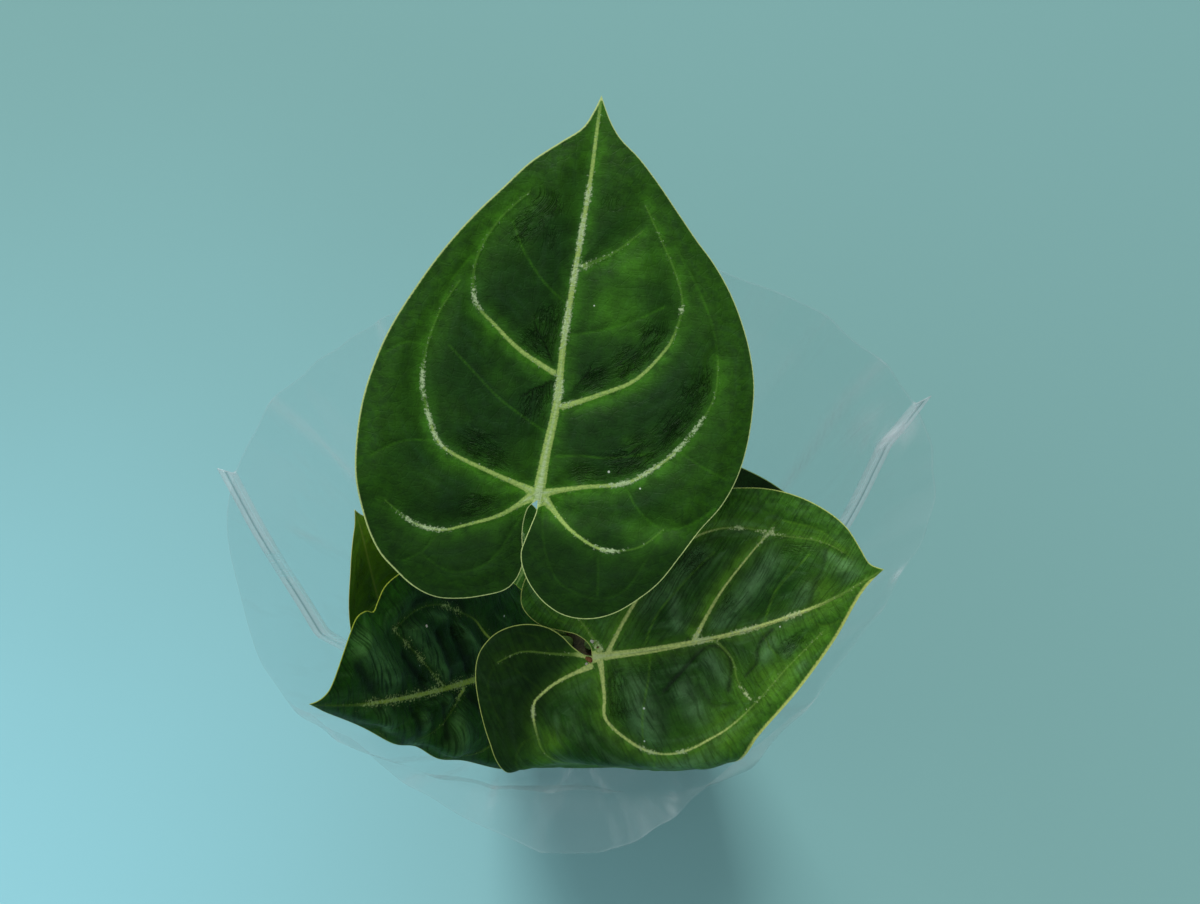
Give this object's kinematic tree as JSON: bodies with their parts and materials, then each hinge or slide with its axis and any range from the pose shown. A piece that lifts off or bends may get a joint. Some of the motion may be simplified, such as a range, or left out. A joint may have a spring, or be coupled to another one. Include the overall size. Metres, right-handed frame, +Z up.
{
  "type": "potted anthurium",
  "caption": "Potted velvet-leaf anthurium: heart-shaped veined leaves on round stalks from one crown, in a plain nursery pot inside a flared clear film sleeve.",
  "frame": {"origin": "centre of the pot's flat base", "axes": "+Z up along the pot's axis; -Y towards the side that the plant is seen from; the largest leaf's tip points to +Y"},
  "size_m": [0.2384, 0.2386, 0.3683],
  "materials": {
    "pot": "satin",
    "soil": "matte",
    "crown": "matte",
    "large_blade": "satin",
    "side_blade": "satin",
    "dark_blade": "satin",
    "young_blade": "satin",
    "petiole": "satin",
    "film": "gloss"
  },
  "bodies": {
    "root": {"pot": "pot", "soil": "soil", "crown": "crown", "leaf_1_blade": "large_blade", "leaf_1_petiole": "petiole", "leaf_2_blade": "side_blade", "leaf_2_petiole": "petiole", "leaf_3_blade": "dark_blade", "leaf_3_petiole": "petiole", "leaf_4_blade": "young_blade", "leaf_4_petiole": "petiole", "leaf_5_blade": "side_blade", "leaf_5_petiole": "petiole", "leaf_6_blade": "young_blade", "leaf_6_petiole": "petiole", "sleeve": "film"}
  },
  "joints": []
}
